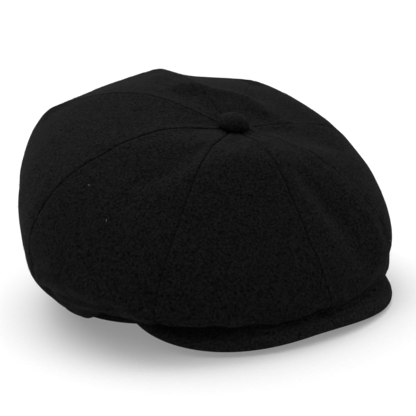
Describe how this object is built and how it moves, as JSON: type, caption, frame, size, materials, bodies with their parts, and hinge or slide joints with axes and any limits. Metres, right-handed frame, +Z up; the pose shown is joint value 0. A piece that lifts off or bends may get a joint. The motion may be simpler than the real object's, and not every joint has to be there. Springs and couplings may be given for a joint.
{
  "type": "newsboy cap",
  "caption": "Soft newsboy cap with a full gored crown, a cloth-covered button, a low headband, a short stiff visor, lining and sweatband.",
  "frame": {"origin": "under the middle of the cap's box, on the surface that it stands on", "axes": "+Z up, the visor points to -Y, the wearer's left is +X"},
  "size_m": [0.2302, 0.2416, 0.1312],
  "materials": {
    "wool": "black felted wool, matte, napped",
    "satin": "black satin, soft sheen",
    "twill": "black cotton twill, matte",
    "canvas": "undyed canvas tape",
    "label": "blank woven label",
    "board": "matte plastic sheet",
    "nickel": "nickel-plated steel"
  },
  "bodies": {
    "cap": {"crown_gore_1": "wool", "crown_gore_2": "wool", "crown_gore_3": "wool", "crown_gore_4": "wool", "crown_gore_5": "wool", "crown_gore_6": "wool", "crown_gore_7": "wool", "crown_gore_8": "wool", "headband": "wool", "band_stiffener": "canvas", "sweatband": "twill", "size_tab": "label", "lining_panel_1": "satin", "lining_panel_2": "satin", "lining_panel_3": "satin", "lining_panel_4": "satin", "lining_label": "label", "button_cover": "wool", "button_shell": "nickel", "button_back": "nickel", "button_washer": "nickel"},
    "visor": {"visor_top_cloth": "wool", "visor_board": "board", "visor_under_cloth": "wool"}
  },
  "joints": [
    {"name": "visor_flex", "type": "hinge", "parent": "cap", "child": "visor", "pos_m": [0.0101, -0.05808, 0.01243], "axis": [1, 0, 0], "range_deg": [-4, 8], "stiffness_Nm_per_rad": 3}
  ]
}
